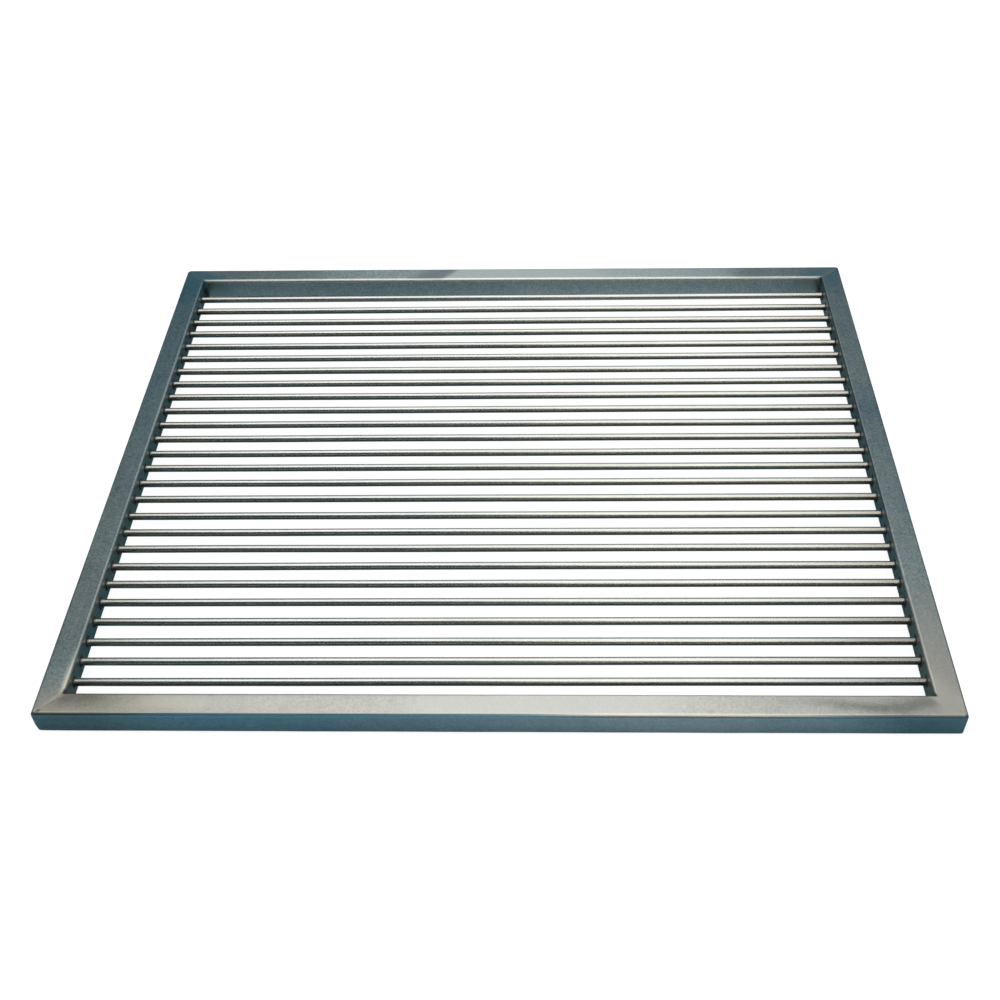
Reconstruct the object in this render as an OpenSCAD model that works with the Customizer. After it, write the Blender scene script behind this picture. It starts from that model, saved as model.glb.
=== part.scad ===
// Queen excluder: a flat grid of parallel round bars held in a mitred frame of rectangular tube.
// X runs along the bars, Y runs from the front rail to the rear rail, and Z is up.
// The frame rests on Z = 0 and is centred on the origin. All sizes are in millimetres.

/* [Frame] */
// Outer length of the frame, along the bars
frame_w = 500; // [300:1:560]
// Outer depth of the frame, across the bars
frame_d = 425; // [300:1:560]
// Width of a rail, seen from above
rail_w = 15; // [12:0.5:20]
// Height of a rail
rail_h = 15.5; // [12:0.5:24]
// Wall thickness of the rail tube
rail_wall = 1.5; // [1:0.1:2]
// Outer edge radius of the rail tube
rail_r = 1.5; // [0.8:0.1:3]

/* [Bars] */
// Number of bars, spaced evenly between the front rail and the rear rail
bar_count = 26; // [10:1:30]
// Diameter of a bar
bar_d = 4.5; // [3:0.1:5]
// Clear gap between the front or rear rail and the bar next to it
end_gap = 11.5; // [8:0.5:14]
// How far a bar's end reaches into a side rail, past the rail's inner face
bar_reach = 8; // [4:0.5:9]
// Chamfer on a bar's end
bar_chamfer = 0.4; // [0.1:0.1:0.8]
// Radial room between a bar and its drilled hole
hole_room = 0.05; // [0.02:0.01:0.2]

/* [Welds] */
// Width of the weld across each mitre
mitre_weld = 3; // [1.2:0.1:3]
// Leg of the fillet weld around each bar's end
bar_weld = 0.5; // [0.4:0.1:1]

/* [Hidden] */
// Length that the mitre weld takes from each rail, measured along the rail
mitre_set = mitre_weld / sqrt(2);
inner_w = frame_w - 2 * rail_w;
inner_d = frame_d - 2 * rail_w;
bar_r = bar_d / 2;
bar_pitch = (inner_d - 2 * (end_gap + bar_r)) / (bar_count - 1);
bar_z = rail_h / 2;
cavity_r = max(0.2, rail_r - rail_wall);
over = 1;
$fn = 64;

function bar_y(i) = -inner_d / 2 + end_gap + bar_r + bar_pitch * (i - 1);
function bar_name(i) = str("bar_", i < 10 ? "0" : "", i);

// ---- shared shapes ----

// A rectangle with rounded corners, centred on the origin
module round_rect(w, h, r) {
    square([w - 2 * r, h], center = true);
    square([w, h - 2 * r], center = true);
    for (x = [-1, 1], y = [-1, 1])
        translate([x * (w / 2 - r), y * (h / 2 - r)]) circle(r = r);
}

// The rail tube's section: width across, height up
module tube_section() {
    difference() {
        round_rect(rail_w, rail_h, rail_r);
        round_rect(rail_w - 2 * rail_wall, rail_h - 2 * rail_wall, cavity_r);
    }
}

// An uncut tube along X, resting on Z = 0, with its middle on the X axis
module tube(length) {
    translate([-length / 2, 0, rail_h / 2])
        rotate([90, 0, 90]) linear_extrude(length) tube_section();
}

// The tube of the front rail (d = frame_d) or of the left rail's twin, before its ends are mitred.
// It lies along X on the -Y side of a rectangle of length w and depth d.
module side_tube(w, d) {
    translate([0, -d / 2 + rail_w / 2, 0]) tube(w);
}

// The plan of a rail with both ends cut at 45 degrees, set back by the weld
module mitred_plan(w, d) {
    a = w / 2 - mitre_set;
    polygon([
        [-a - over, -d / 2 - over], [a + over, -d / 2 - over],
        [a - rail_w - over, -d / 2 + rail_w + over],
        [-a + rail_w + over, -d / 2 + rail_w + over]
    ]);
}

// A rail on the -Y side of a rectangle of length w and depth d
module rail(w, d) {
    intersection() {
        side_tube(w, d);
        translate([0, 0, -over]) linear_extrude(rail_h + 2 * over) mitred_plan(w, d);
    }
}

// The holes that take the bars, drilled through the inner wall of the rail at the -X side
module bar_holes() {
    for (i = [1 : bar_count])
        translate([-inner_w / 2 - rail_wall - over, bar_y(i), bar_z])
            rotate([0, 90, 0]) cylinder(r = bar_r + hole_room, h = rail_wall + 2 * over);
}

// One half of a mitre weld: the strip of tube between the rail's end and the mitre plane,
// at the -X -Y corner of a rectangle of length w and depth d
module weld_half(w, d) {
    intersection() {
        side_tube(w, d);
        translate([0, 0, -over]) linear_extrude(rail_h + 2 * over)
            translate([-w / 2, -d / 2])
                polygon([
                    [-over, -over], [mitre_set - over, -over],
                    [rail_w + over + mitre_set, rail_w + over], [rail_w + over, rail_w + over]
                ]);
    }
}

// The plan of the outer corner after grinding: its upright edge is rounded
module ground_corner_plan() {
    reach = 2 * rail_w;
    translate([mitre_set, mitre_set]) circle(r = mitre_set);
    translate([mitre_set, 0]) square([reach, reach]);
    translate([0, mitre_set]) square([reach, reach]);
}

// The weld that closes the mitre at the front left corner
module corner_weld() {
    intersection() {
        union() {
            weld_half(frame_w, frame_d);
            mirror([1, -1, 0]) weld_half(frame_d, frame_w);
        }
        translate([-frame_w / 2, -frame_d / 2, -over])
            linear_extrude(rail_h + 2 * over) ground_corner_plan();
    }
}

// The fillet weld around a bar where it enters the inner face of the left rail
module bar_weld_ring() {
    flat = 0.12;
    rotate([0, 90, 0]) rotate_extrude()
        polygon([
            [bar_r, 0], [bar_r + bar_weld, 0], [bar_r + bar_weld, flat],
            [bar_r + flat, bar_weld], [bar_r, bar_weld]
        ]);
}

// ---- the pieces ----

module front_rail() { color("#8f969a") rail(frame_w, frame_d); }
module rear_rail() { color("#8f969a") mirror([0, 1, 0]) rail(frame_w, frame_d); }
module left_rail() {
    color("#868e92") difference() {
        mirror([1, -1, 0]) rail(frame_d, frame_w);
        bar_holes();
    }
}
module right_rail() {
    color("#868e92") mirror([1, 0, 0]) difference() {
        mirror([1, -1, 0]) rail(frame_d, frame_w);
        bar_holes();
    }
}
module mitre_weld_front_left() { color("#9a958c") corner_weld(); }
module mitre_weld_front_right() { color("#9a958c") mirror([1, 0, 0]) corner_weld(); }
module mitre_weld_rear_left() { color("#9a958c") mirror([0, 1, 0]) corner_weld(); }
module mitre_weld_rear_right() { color("#9a958c") mirror([1, 0, 0]) mirror([0, 1, 0]) corner_weld(); }

// One bar, number i counted from the front
module bar(i) {
    half = inner_w / 2 + bar_reach;
    color("#b4b2aa") translate([0, bar_y(i), bar_z]) rotate([0, 90, 0]) rotate_extrude()
        polygon([
            [0, -half], [bar_r - bar_chamfer, -half], [bar_r, -half + bar_chamfer],
            [bar_r, half - bar_chamfer], [bar_r - bar_chamfer, half], [0, half]
        ]);
}

module bar_end_welds_left() {
    color("#7d7468") for (i = [1 : bar_count])
        translate([-inner_w / 2, bar_y(i), bar_z]) bar_weld_ring();
}
module bar_end_welds_right() { mirror([1, 0, 0]) bar_end_welds_left(); }

front_rail();
rear_rail();
left_rail();
right_rail();
mitre_weld_front_left();
mitre_weld_front_right();
mitre_weld_rear_left();
mitre_weld_rear_right();
for (i = [1 : bar_count])
    bar(i);
bar_end_welds_left();
bar_end_welds_right();
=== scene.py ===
import math

import bmesh
import bpy
import numpy as np
from mathutils import Matrix, Vector, noise


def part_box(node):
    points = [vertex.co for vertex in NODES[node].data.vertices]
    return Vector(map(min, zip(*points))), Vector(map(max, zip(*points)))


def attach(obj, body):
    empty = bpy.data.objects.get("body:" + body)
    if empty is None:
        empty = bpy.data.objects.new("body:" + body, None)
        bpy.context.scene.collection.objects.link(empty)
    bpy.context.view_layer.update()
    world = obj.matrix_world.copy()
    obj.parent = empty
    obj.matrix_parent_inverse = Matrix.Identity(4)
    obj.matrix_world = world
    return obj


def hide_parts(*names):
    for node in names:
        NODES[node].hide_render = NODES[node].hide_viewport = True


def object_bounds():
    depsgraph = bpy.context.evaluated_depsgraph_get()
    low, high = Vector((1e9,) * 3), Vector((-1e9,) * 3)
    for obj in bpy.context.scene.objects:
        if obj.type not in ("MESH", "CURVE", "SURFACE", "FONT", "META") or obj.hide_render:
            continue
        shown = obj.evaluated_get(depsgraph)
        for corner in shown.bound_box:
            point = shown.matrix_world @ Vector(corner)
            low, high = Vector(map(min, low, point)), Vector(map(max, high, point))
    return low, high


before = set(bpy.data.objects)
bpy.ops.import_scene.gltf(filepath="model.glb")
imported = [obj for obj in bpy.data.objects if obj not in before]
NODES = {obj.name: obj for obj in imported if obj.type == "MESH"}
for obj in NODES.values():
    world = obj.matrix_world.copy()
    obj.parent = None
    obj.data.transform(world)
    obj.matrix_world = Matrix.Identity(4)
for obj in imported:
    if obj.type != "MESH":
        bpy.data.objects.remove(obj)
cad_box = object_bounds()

# Queen excluder: a mitred frame of rectangular steel tube with a row of parallel round bars.
# Everything is in metres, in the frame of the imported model: X along the bars, Y to the rear, Z up.

# ---------------------------------------------------------------- sizes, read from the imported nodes

MM = 0.001
W = cad_box[1].x - cad_box[0].x
D = cad_box[1].y - cad_box[0].y
H = cad_box[1].z - cad_box[0].z
lo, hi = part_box("front_rail")
T = hi.y - lo.y                      # width of a rail, seen from above
SET = W / 2 - hi.x                   # length of the mitre weld along a rail's outer edge
WALL = 1.5 * MM                      # wall of the tube
# edge radii of the tubes, as dressed: lower edges, upper inner edge, upper outer edge
RADII = {
    "front": (1.8 * MM, 1.2 * MM, 1.6 * MM),
    "rear": (1.6 * MM, 2.2 * MM, 1.6 * MM),
    "left": (1.4 * MM, 1.2 * MM, 1.4 * MM),
    "right": (1.4 * MM, 1.2 * MM, 1.0 * MM),
}
BARS = sorted(n for n in NODES if n.startswith("bar_") and n[4:].isdigit())
BAR_Y = [(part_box(n)[0].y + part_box(n)[1].y) / 2 for n in BARS]
# as welded, each bar sits a little off its even place: millimetres to the rear, from the front bar on
STRAY = (0.40, 0.30, -0.25, 0.30, 0.60, 0.45, 0.25, 0.40, -0.20, -0.25, 0.60, 0.60, 0.60,
         0.00, 0.30, 0.15, 0.40, 0.55, 0.40, 0.20, 0.20, -0.15, 0.65, 0.05, 0.05, 0.50)
SET_Y = [y + d * MM for y, d in zip(BAR_Y, STRAY)]
lo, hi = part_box(BARS[0])
BAR_R = (hi.z - lo.z) / 2 + 0.05 * MM   # the drawn bars run a little over size
BAR_Z = (hi.z + lo.z) / 2
BAR_HALF = hi.x                      # half the length of a bar, ends in the rails included
PITCH = (BAR_Y[-1] - BAR_Y[0]) / (len(BARS) - 1)
HOLE_R = BAR_R + 0.05 * MM
INNER_X = W / 2 - T                  # inner face of a side rail
SKEW = 0.95 * MM                     # as welded, the bars lie a little askew: right ends to the rear, left ends to the front
INNER_Y = D / 2 - T                  # inner face of the front and rear rails


def smooth(a, b, x):
    t = min(1.0, max(0.0, (x - a) / (b - a)))      # a above b turns it round
    return t * t * (3 - 2 * t)


def wave(x, y, z, size):
    """Smooth noise from about -1 to 1 that varies over the given length."""
    return noise.noise(Vector((x / size, y / size, z / size)))


# ---------------------------------------------------------------- mesh helpers

def make_piece(name, verts, faces, material, edge=None, sharp=32.0):
    """A closed mesh with its normals out, edges over the given angle sharp, and a vertex value 'edge' for strips
    painted lighter (wear and painted highlight) or darker (painted shade).
    """
    mesh = bpy.data.meshes.new(name)
    mesh.from_pydata([tuple(v) for v in verts], [], faces)
    if edge is not None:
        a = mesh.attributes.new("edge", "FLOAT", "POINT")
        a.data.foreach_set("value", np.asarray(edge, np.float32))
    bm = bmesh.new()
    bm.from_mesh(mesh)
    bmesh.ops.delete(bm, geom=[v for v in bm.verts if not v.link_faces], context="VERTS")
    bmesh.ops.recalc_face_normals(bm, faces=bm.faces)
    limit = math.radians(sharp)
    for e in bm.edges:
        e.smooth = not (len(e.link_faces) == 2 and e.calc_face_angle(0.0) > limit)
    for f in bm.faces:
        f.smooth = True
    bm.to_mesh(mesh)
    bm.free()
    mesh.materials.append(material)
    obj = bpy.data.objects.new(name, mesh)
    bpy.context.scene.collection.objects.link(obj)
    return obj


HOLD = 0.2 * MM                      # a narrow strip beside each rounded edge, so that the flats shade flat
ARC = 8                              # segments in each rounded edge
FLAT_W, FLAT_H = 10, 8               # segments across the flats, between the narrow strips


def section(off, radii):
    """The tube's outline, moved in by off. Rows of (u, v, normal u, normal v, edge value), with u from the outer face inwards
    and v up. It starts at the bottom and runs round by the inner wall, the top and the outer wall. radii holds the radius of
    the lower edges, of the upper inner edge and of the upper outer edge."""
    low, inner, outer = (max(r - off, 0.3 * MM) for r in radii)
    rows = []

    def flat(a, b, n, count):
        a, b, n = Vector(a), Vector(b), Vector(n)
        length = (b - a).length
        steps = [0.0] + [HOLD + (length - 2 * HOLD) * i / count for i in range(count + 1)] + [length]
        for s in steps:
            p = a + (b - a) * (s / length)
            rows.append((p.x, p.y, n.x, n.y, 0.0))

    def arc(mid, start, r):
        for i in range(1, ARC):
            t = math.radians(start + 90.0 * i / ARC)
            rows.append((mid[0] + r * math.cos(t), mid[1] + r * math.sin(t), math.cos(t), math.sin(t),
                         math.sin(math.pi * i / ARC)))

    lo, up = off, H - off
    near, far = off, T - off
    flat((near + low, lo), (far - low, lo), (0, -1), FLAT_W)
    arc((far - low, lo + low), -90, low)
    inner_start = len(rows)
    flat((far, lo + low), (far, up - inner), (1, 0), FLAT_H)
    inner_end = len(rows) - 1
    arc((far - inner, up - inner), 0, inner)
    flat((far - inner, up), (near + outer, up), (0, 1), FLAT_W)
    arc((near + outer, up - outer), 90, outer)
    flat((near, up - outer), (near, lo + low), (-1, 0), FLAT_H)
    arc((near + low, lo + low), 180, low)
    return rows, inner_start, inner_end


LOOP, IN_A, IN_B = (lambda rows, a, b: (len(rows), a, b))(*section(0.0, RADII["front"]))


def radii_at(side, x):
    """A rail's edge radii at x. The front rail's upper outer edge is rounder in its right half and at its left end."""
    low, inner, outer = RADII[side]
    if side == "front":
        outer += 0.6 * MM * max(smooth(-10 * MM, 95 * MM, x), smooth(-170 * MM, -235 * MM, x))
    return low, inner, outer


def placer(side):
    """Maps (s along the rail, u inwards, v up) to the row frame, without mirroring."""
    return {
        "front": lambda s, u, v: (s, -D / 2 + u, v),
        "rear": lambda s, u, v: (-s, D / 2 - u, v),
        "left": lambda s, u, v: (-W / 2 + u, -s, v),
        "right": lambda s, u, v: (W / 2 - u, s, v),
    }[side]


def dressed(p, u, v, nu, nv, edge, side_dir):
    """Small dents and rolls of a dressed tube, always inwards: p is the point, side_dir the direction of u in the row frame."""
    x, y, z = p
    low = 0.5 + 0.5 * wave(x + 3.1, y - 1.7, z + 0.4, 0.034)
    mid = 0.5 + 0.5 * wave(x - 0.9, y + 2.3, z - 0.8, 0.011)
    depth = (0.040 * low + 0.012 * mid) * MM
    depth += edge * (0.10 * low + 0.05 * mid) * MM
    x, y, z = x - side_dir[0] * nu * depth, y - side_dir[1] * nu * depth, z - nv * depth
    # the inner edge by the front left corner was ground to a shallow slope
    sx, sy = math.copysign(1, x), math.copysign(1, y)
    if sx < 0 and sy < 0 and nv > 0:
        in_x, in_y = x + W / 2, y + D / 2
        slope = smooth(T - 4.5 * MM, T + 1.5 * MM, in_x) ** 1.5 * smooth(T - 2 * MM, T + 2 * MM, in_y) * (1 - smooth(8 * MM, 52 * MM, in_y))
        z -= 0.30 * MM * slope * nv
    # the outer corners were ground off towards the bottom, the front left one most
    off = max(W / 2 - abs(x), D / 2 - abs(y)) / (6.5 * MM)
    if off < 4:
        cut_x, cut_y = {(-1, -1): (1.20, 0.20), (1, -1): (0.08, 0.05)}.get((sx, sy), (0.28, 0.28))
        low = max(0.0, 1 - z / (0.62 * H)) ** 2.2 * math.exp(-off * off) * MM
        x, y = x - sx * cut_x * low, y - sy * cut_y * low
    return (x, y, z)


# ---------------------------------------------------------------- rails

def build_rail(name, side, material, drilled):
    place = placer(side)
    origin, along = Vector(place(0, 0, 0)), Vector(place(0, 1, 0)) - Vector(place(0, 0, 0))
    side_dir = (along.x, along.y)
    length = W if side in ("front", "rear") else D
    end = length / 2 - SET - T                       # half length on the inner face
    holes = []
    if drilled:
        sign = -1 if side == "left" else 1           # s runs along -Y on the left rail and along +Y on the right one
        holes = sorted(sign * y + SKEW for y in SET_Y)
        first = holes[0] - PITCH / 2
        rings = [-end + (first + end) * i / 4 for i in range(4)]
        for h in holes:
            rings += [h - PITCH / 2 + PITCH * i / 8 for i in range(8)]
        last = holes[-1] + PITCH / 2
        rings += [last + (end - last) * i / 4 for i in range(5)]
        straight = last
    else:
        straight = end - 14 * MM
        near = [end - 14 * MM * i / 7 for i in range(8)]
        mid = int(round(2 * straight / (3.5 * MM)))
        rings = sorted(set([-x for x in near] + near + [-straight + 2 * straight * i / mid for i in range(1, mid)]))
    verts, edge, faces = [], [], []

    def loops(off, wavy):
        ids = []
        for s in rings:
            w = max(0.0, (abs(s) - straight) / (end - straight))
            rows = section(off, radii_at(side, place(s, 0, 0)[0]))[0]
            ring = []
            for (u, v, nu, nv, e) in rows:
                p = place(s + math.copysign(w * (T - u), s), u, v)
                if wavy:
                    p = dressed(p, u, v, nu, nv, e, side_dir)
                ring.append(len(verts))
                verts.append(p)
                edge.append(e if wavy else 0.0)
            ids.append(ring)
        return ids

    out, cav = loops(0.0, True), loops(WALL, False)
    cells = [4 + 8 * i for i in range(len(holes))]
    in_cell = set(k for c in cells for k in range(c, c + 8))
    for ids in (out, cav):
        for k in range(len(rings) - 1):
            for j in range(LOOP):
                if k in in_cell and IN_A + 1 <= j < IN_B - 1:
                    continue
                j2 = (j + 1) % LOOP
                faces.append((ids[k][j], ids[k + 1][j], ids[k + 1][j2], ids[k][j2]))
    for k in (0, len(rings) - 1):
        for j in range(LOOP):
            j2 = (j + 1) % LOOP
            faces.append((out[k][j], out[k][j2], cav[k][j2], cav[k][j]))
    # the drilled holes: each cell of the inner wall runs from its square border to a circle, on both faces of the wall
    low, high = IN_A + 1, IN_B - 1
    for c, h in zip(cells, holes):
        circles = []
        for ids, u in ((out, T), (cav, T - WALL)):
            border = [ids[c + i][low] for i in range(8)]
            border += [ids[c + 8][low + i] for i in range(8)]
            border += [ids[c + 8 - i][high] for i in range(8)]
            border += [ids[c][high - i] for i in range(8)]
            rounds = [border]
            for t in (0.45, 0.8, 1.0):
                ring = []
                for i in range(32):
                    a = math.radians(225 + 360 * i / 32)
                    q = Vector(place(h + HOLE_R * math.cos(a), u, BAR_Z + HOLE_R * math.sin(a)))
                    b = Vector(verts[border[i]])
                    ring.append(len(verts))
                    verts.append(tuple(b.lerp(q, t)))
                    edge.append(0.0)
                rounds.append(ring)
            for a, b in zip(rounds, rounds[1:]):
                for i in range(32):
                    i2 = (i + 1) % 32
                    faces.append((a[i], a[i2], b[i2], b[i]))
            circles.append(rounds[-1])
        for i in range(32):
            i2 = (i + 1) % 32
            faces.append((circles[0][i], circles[0][i2], circles[1][i2], circles[1][i]))
    return make_piece(name, verts, faces, material, edge)


# ---------------------------------------------------------------- mitre welds

TURN = 16                            # steps across a weld


def build_mitre_weld(name, sx, sy, material, ridge, notch):
    """The weld at one corner, carried round from the end of one rail to the end of the other. It is ground flush outside, and
    keeps its bead in the inside corner. ridge is the height of the seam left on top, and notch the depth of the pit at the tip."""
    verts, edge, faces = [], [], []
    square = 0.65 if sy < 0 else 1.0                 # the front corners are squarer in plan

    def loops(inset, out):
        ids = []
        for i in range(TURN + 1):
            t = math.pi / 2 * i / TURN
            ends, sides = radii_at("front" if sy < 0 else "rear", sx * W / 2), RADII["left" if sx < 0 else "right"]
            rows = section(inset, [a + (b - a) * i / TURN for a, b in zip(ends, sides)])[0]
            ring = []
            for (u, v, nu, nv, e) in rows:
                # distances in from the side rail's outer face and from the end rail's outer face
                a = u + SET * (1 - max(0.0, math.sin(t)) ** square)
                b = u + SET * (1 - max(0.0, math.cos(t)) ** square)
                z = v
                if out:
                    off = (i / TURN - 0.5) * 2                      # -1 to 1 across the weld
                    x0, y0 = sx * (W / 2 - a), sy * (D / 2 - b)
                    bead = math.exp(-(off / 0.34) ** 2)
                    taper = math.cos(off * math.pi / 2) ** 2
                    # outward direction in plan: towards the corner on the outer wall, into the opening on the inner wall
                    gu = -nu
                    lift = 0.0
                    if nu > 0.2:                                    # inside corner: the bead as it was laid
                        ripple = math.sin(2 * math.pi * (v / (1.55 * MM) + 0.35 * off * off + 0.3 * wave(x0, y0, v, 0.004)))
                        lift += nu * taper * (0.20 + 0.07 * ripple) * MM
                    if nv > 0.5:                                    # top: a seam left proud near the inside corner
                        shift = 0.10 * wave(u * 3, 0.0, sx + sy, 0.004)
                        seam = math.exp(-((off - shift) / 0.50) ** 2)
                        lift += nv * ridge * seam * smooth(4.5 * MM, 10.5 * MM, u + 1.2 * MM * wave(u, 0.7, sx, 0.002))
                        pit = math.exp(-((off + 0.15) / 0.45) ** 2) * math.exp(-((u - 2.4 * MM) / (0.9 * MM)) ** 2)
                        lift -= nv * notch * pit
                    if nu < -0.5:                                   # outer upright corner: faint facets of the grinder
                        lift -= 0.05 * MM * (0.5 + 0.5 * wave(x0, y0, v, 0.003)) * taper
                    d = Vector((sx * gu * math.sin(t), sy * gu * math.cos(t)))
                    if d.length > 1e-9:
                        d.normalize()
                    p = (x0 + d.x * lift * abs(nu), y0 + d.y * lift * abs(nu), z + nv * lift * abs(nv))
                    ends = 1.0 - taper
                    base = (sx * (W / 2 - a), sy * (D / 2 - b), v)
                    side_dir = (-sx * math.sin(t), -sy * math.cos(t))
                    p2 = dressed(base, u, v, nu, nv, e, side_dir)
                    p = tuple(p[k] + (p2[k] - base[k]) for k in range(3))
                else:
                    p = (sx * (W / 2 - a), sy * (D / 2 - b), z)
                ring.append(len(verts))
                verts.append(p)
                edge.append(e if out else 0.0)
            ids.append(ring)
        return ids

    out, cav = loops(0.0, True), loops(WALL, False)
    for ids in (out, cav):
        for k in range(TURN):
            for j in range(LOOP):
                j2 = (j + 1) % LOOP
                faces.append((ids[k][j], ids[k + 1][j], ids[k + 1][j2], ids[k][j2]))
    for k in (0, TURN):
        for j in range(LOOP):
            j2 = (j + 1) % LOOP
            faces.append((out[k][j], out[k][j2], cav[k][j2], cav[k][j]))
    return make_piece(name, verts, faces, material, edge)


# ---------------------------------------------------------------- bars and the welds at their ends

ROUND = 40


def build_bar(name, number, y, material):
    """A drawn bar with chamfered ends. It wanders by about a tenth of a millimetre, as a straightened bar does."""
    chamfer = 0.4 * MM
    stations = [-BAR_HALF, -BAR_HALF + chamfer]
    inside = [-INNER_X, -INNER_X + 2 * MM, -INNER_X + 5 * MM]
    span = INNER_X - 10 * MM
    count = 76
    stations += inside + [-span + 2 * span * i / count for i in range(count + 1)] + [-x for x in reversed(inside)]
    stations += [BAR_HALF - chamfer, BAR_HALF]
    verts, faces, rearward = [], [], []
    for k, x in enumerate(stations):
        r = BAR_R - (chamfer if k in (0, len(stations) - 1) else 0.0)
        hold = smooth(0, 60 * MM, INNER_X - abs(x))
        dy = hold * 0.16 * MM * wave(x, number * 1.37, 0.2, 0.11)
        dz = hold * 0.12 * MM * wave(x, number * 2.11, 5.2, 0.13)
        for i in range(ROUND):
            a = 2 * math.pi * i / ROUND
            verts.append((x, y + SKEW * x / INNER_X + dy + r * math.cos(a), BAR_Z + dz + r * math.sin(a)))
            rearward.append(smooth(-0.05, 0.45, math.cos(a)))
    for k in range(len(stations) - 1):
        for i in range(ROUND):
            i2 = (i + 1) % ROUND
            faces.append((k * ROUND + i, (k + 1) * ROUND + i, (k + 1) * ROUND + i2, k * ROUND + i2))
    for k in (0, len(stations) - 1):
        x = stations[k]
        inner = []
        for i in range(ROUND):
            v = Vector(verts[k * ROUND + i])
            inner.append(len(verts))
            mid = y + SKEW * x / INNER_X
            verts.append((x, mid + (v.y - mid) * 0.5, BAR_Z + (v.z - BAR_Z) * 0.5))
        middle = len(verts)
        verts.append((x, y + SKEW * x / INNER_X, BAR_Z))
        for i in range(ROUND):
            i2 = (i + 1) % ROUND
            faces.append((k * ROUND + i, k * ROUND + i2, inner[i2], inner[i]))
            faces.append((inner[i], inner[i2], middle))
    rearward += [0.0] * (len(verts) - len(rearward))
    return make_piece(name, verts, faces, material, rearward, 25.0)


def build_bar_welds(name, sign, material):
    """The fillet weld round each bar end on one side: a hollow-faced ring with the ripples of the torch."""
    verts, faces = [], []
    around, across = 56, 6
    for number, y in enumerate(SET_Y):
        start = len(verts)
        for i in range(around):
            a = 2 * math.pi * i / around
            c, s = math.cos(a), math.sin(a)
            ripple = 0.5 + 0.5 * math.sin(11 * a + 2.0 * wave(c, s, number * 1.3 + sign, 0.8))
            leg = (0.36 + 0.08 * wave(c * 0.8, s * 0.8, number * 2.7 - sign, 0.9) + 0.06 * ripple) * MM
            profile = [(0.0, 0.0), (leg, 0.0), (leg, 0.06 * MM)]
            for k in range(1, across):
                t = k / across
                hollow = 0.16 * leg * math.sin(math.pi * t)
                profile.append((leg * (1 - t) + 0.04 * MM * t - 0.6 * hollow, 0.06 * MM + (leg - 0.06 * MM) * t - 0.6 * hollow))
            profile += [(0.04 * MM, leg), (0.0, leg)]
            for (dr, dx) in profile:
                r = BAR_R + dr
                verts.append((sign * (INNER_X - dx), y + sign * SKEW * (1 - dx / INNER_X) + r * c, BAR_Z + r * s))
        n = len(profile)
        for i in range(around):
            i2 = (i + 1) % around
            for k in range(n):
                k2 = (k + 1) % n
                faces.append((start + i * n + k, start + i2 * n + k, start + i2 * n + k2, start + i * n + k2))
    return make_piece(name, verts, faces, material, None, 40.0)


# ---------------------------------------------------------------- materials

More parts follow.
